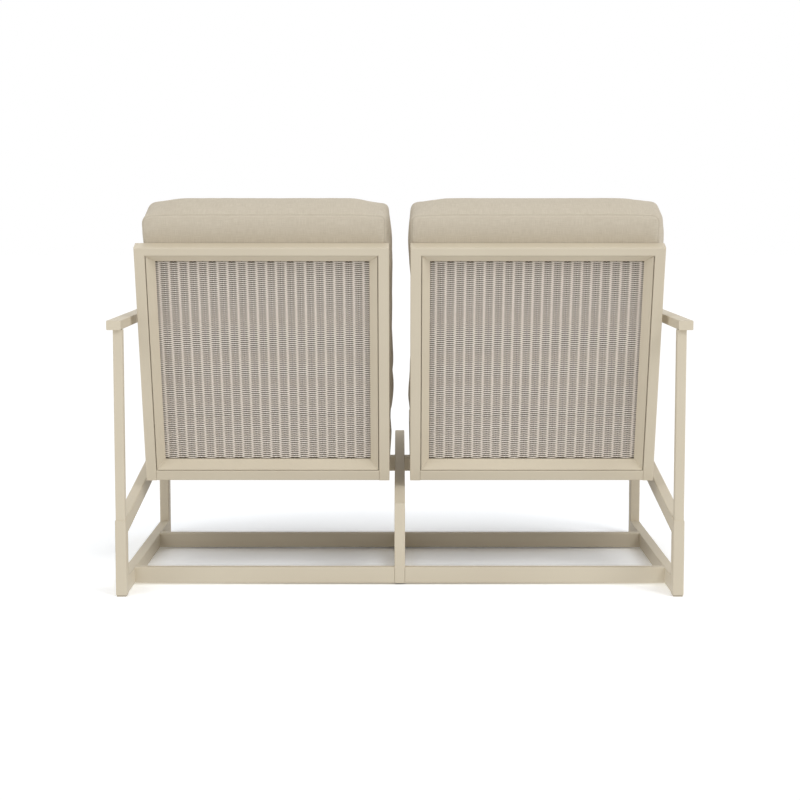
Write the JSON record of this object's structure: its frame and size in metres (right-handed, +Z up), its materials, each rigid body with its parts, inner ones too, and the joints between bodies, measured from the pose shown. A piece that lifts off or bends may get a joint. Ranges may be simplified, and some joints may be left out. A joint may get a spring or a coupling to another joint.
{
  "type": "outdoor rocking bench",
  "caption": "Outdoor loveseat on a fixed tube frame, with padded seats side by side that rock on hidden sprung pivots; shown from behind with woven back panels.",
  "frame": {"origin": "on the floor under the middle of the bench, halfway across the arms and halfway between their ends", "axes": "+X towards the sitters' left, -Y towards the front of the bench, +Z up"},
  "size_m": [1.34, 0.869, 0.9191],
  "materials": {
    "frame_finish": "satin powder coat, warm champagne",
    "woven_cord": "woven cord in upright ribs, matt",
    "cushion_cloth": "plain woven outdoor cloth, matt",
    "sling_fabric": "coated mesh, matt",
    "pivot_coating": "satin powder coat",
    "fastener_steel": "stainless, satin",
    "bush_rubber": "matt",
    "glide_plastic": "matt"
  },
  "bodies": {
    "base": {"left_rear_leg": "frame_finish", "right_rear_leg": "frame_finish", "left_floor_rail": "frame_finish", "right_floor_rail": "frame_finish", "left_front_leg": "frame_finish", "right_front_leg": "frame_finish", "left_seat_rail": "frame_finish", "right_seat_rail": "frame_finish", "left_rear_arm_post": "frame_finish", "right_rear_arm_post": "frame_finish", "left_front_arm_post": "frame_finish", "right_front_arm_post": "frame_finish", "left_arm": "frame_finish", "right_arm": "frame_finish", "left_rear_cross_rail": "frame_finish", "right_rear_cross_rail": "frame_finish", "left_front_cross_rail": "frame_finish", "right_front_cross_rail": "frame_finish", "left_seat_cross_rail": "frame_finish", "right_seat_cross_rail": "frame_finish", "centre_rear_leg": "frame_finish", "centre_front_leg": "frame_finish", "centre_floor_rail": "frame_finish", "centre_seat_rail": "frame_finish", "arm_end_caps": "frame_finish", "foot_glides": "glide_plastic", "pivot_brackets": "pivot_coating", "pivot_fasteners": "fastener_steel", "pivot_sleeves": "fastener_steel", "stop_buffers": "bush_rubber"},
    "left_seat": {"left_back_outer_stile": "frame_finish", "left_back_inner_stile": "frame_finish", "left_back_top_rail": "frame_finish", "left_back_bottom_rail": "frame_finish", "left_back_trim": "frame_finish", "left_back_panel": "woven_cord", "left_seat_outer_rail": "frame_finish", "left_seat_inner_rail": "frame_finish", "left_seat_front_rail": "frame_finish", "left_seat_cross_tubes": "frame_finish", "left_seat_sling": "sling_fabric", "left_pivot_housings": "pivot_coating", "left_rubber_bushes": "bush_rubber", "left_seat_cushion": "cushion_cloth", "left_back_cushion": "cushion_cloth"},
    "right_seat": {"right_back_outer_stile": "frame_finish", "right_back_inner_stile": "frame_finish", "right_back_top_rail": "frame_finish", "right_back_bottom_rail": "frame_finish", "right_back_trim": "frame_finish", "right_back_panel": "woven_cord", "right_seat_outer_rail": "frame_finish", "right_seat_inner_rail": "frame_finish", "right_seat_front_rail": "frame_finish", "right_seat_cross_tubes": "frame_finish", "right_seat_sling": "sling_fabric", "right_pivot_housings": "pivot_coating", "right_rubber_bushes": "bush_rubber", "right_seat_cushion": "cushion_cloth", "right_back_cushion": "cushion_cloth"}
  },
  "joints": [
    {"name": "left_seat_rock", "type": "hinge", "parent": "base", "child": "left_seat", "pos_m": [0.3229, -0.1513, 0.28106], "axis": [-1, 0, 0], "range_deg": [-7, 9], "stiffness_Nm_per_rad": 400, "springref_deg": -2.53},
    {"name": "right_seat_rock", "type": "hinge", "parent": "base", "child": "right_seat", "pos_m": [-0.3229, -0.1513, 0.28106], "axis": [-1, 0, 0], "range_deg": [-7, 9], "stiffness_Nm_per_rad": 400, "springref_deg": -2.53}
  ]
}
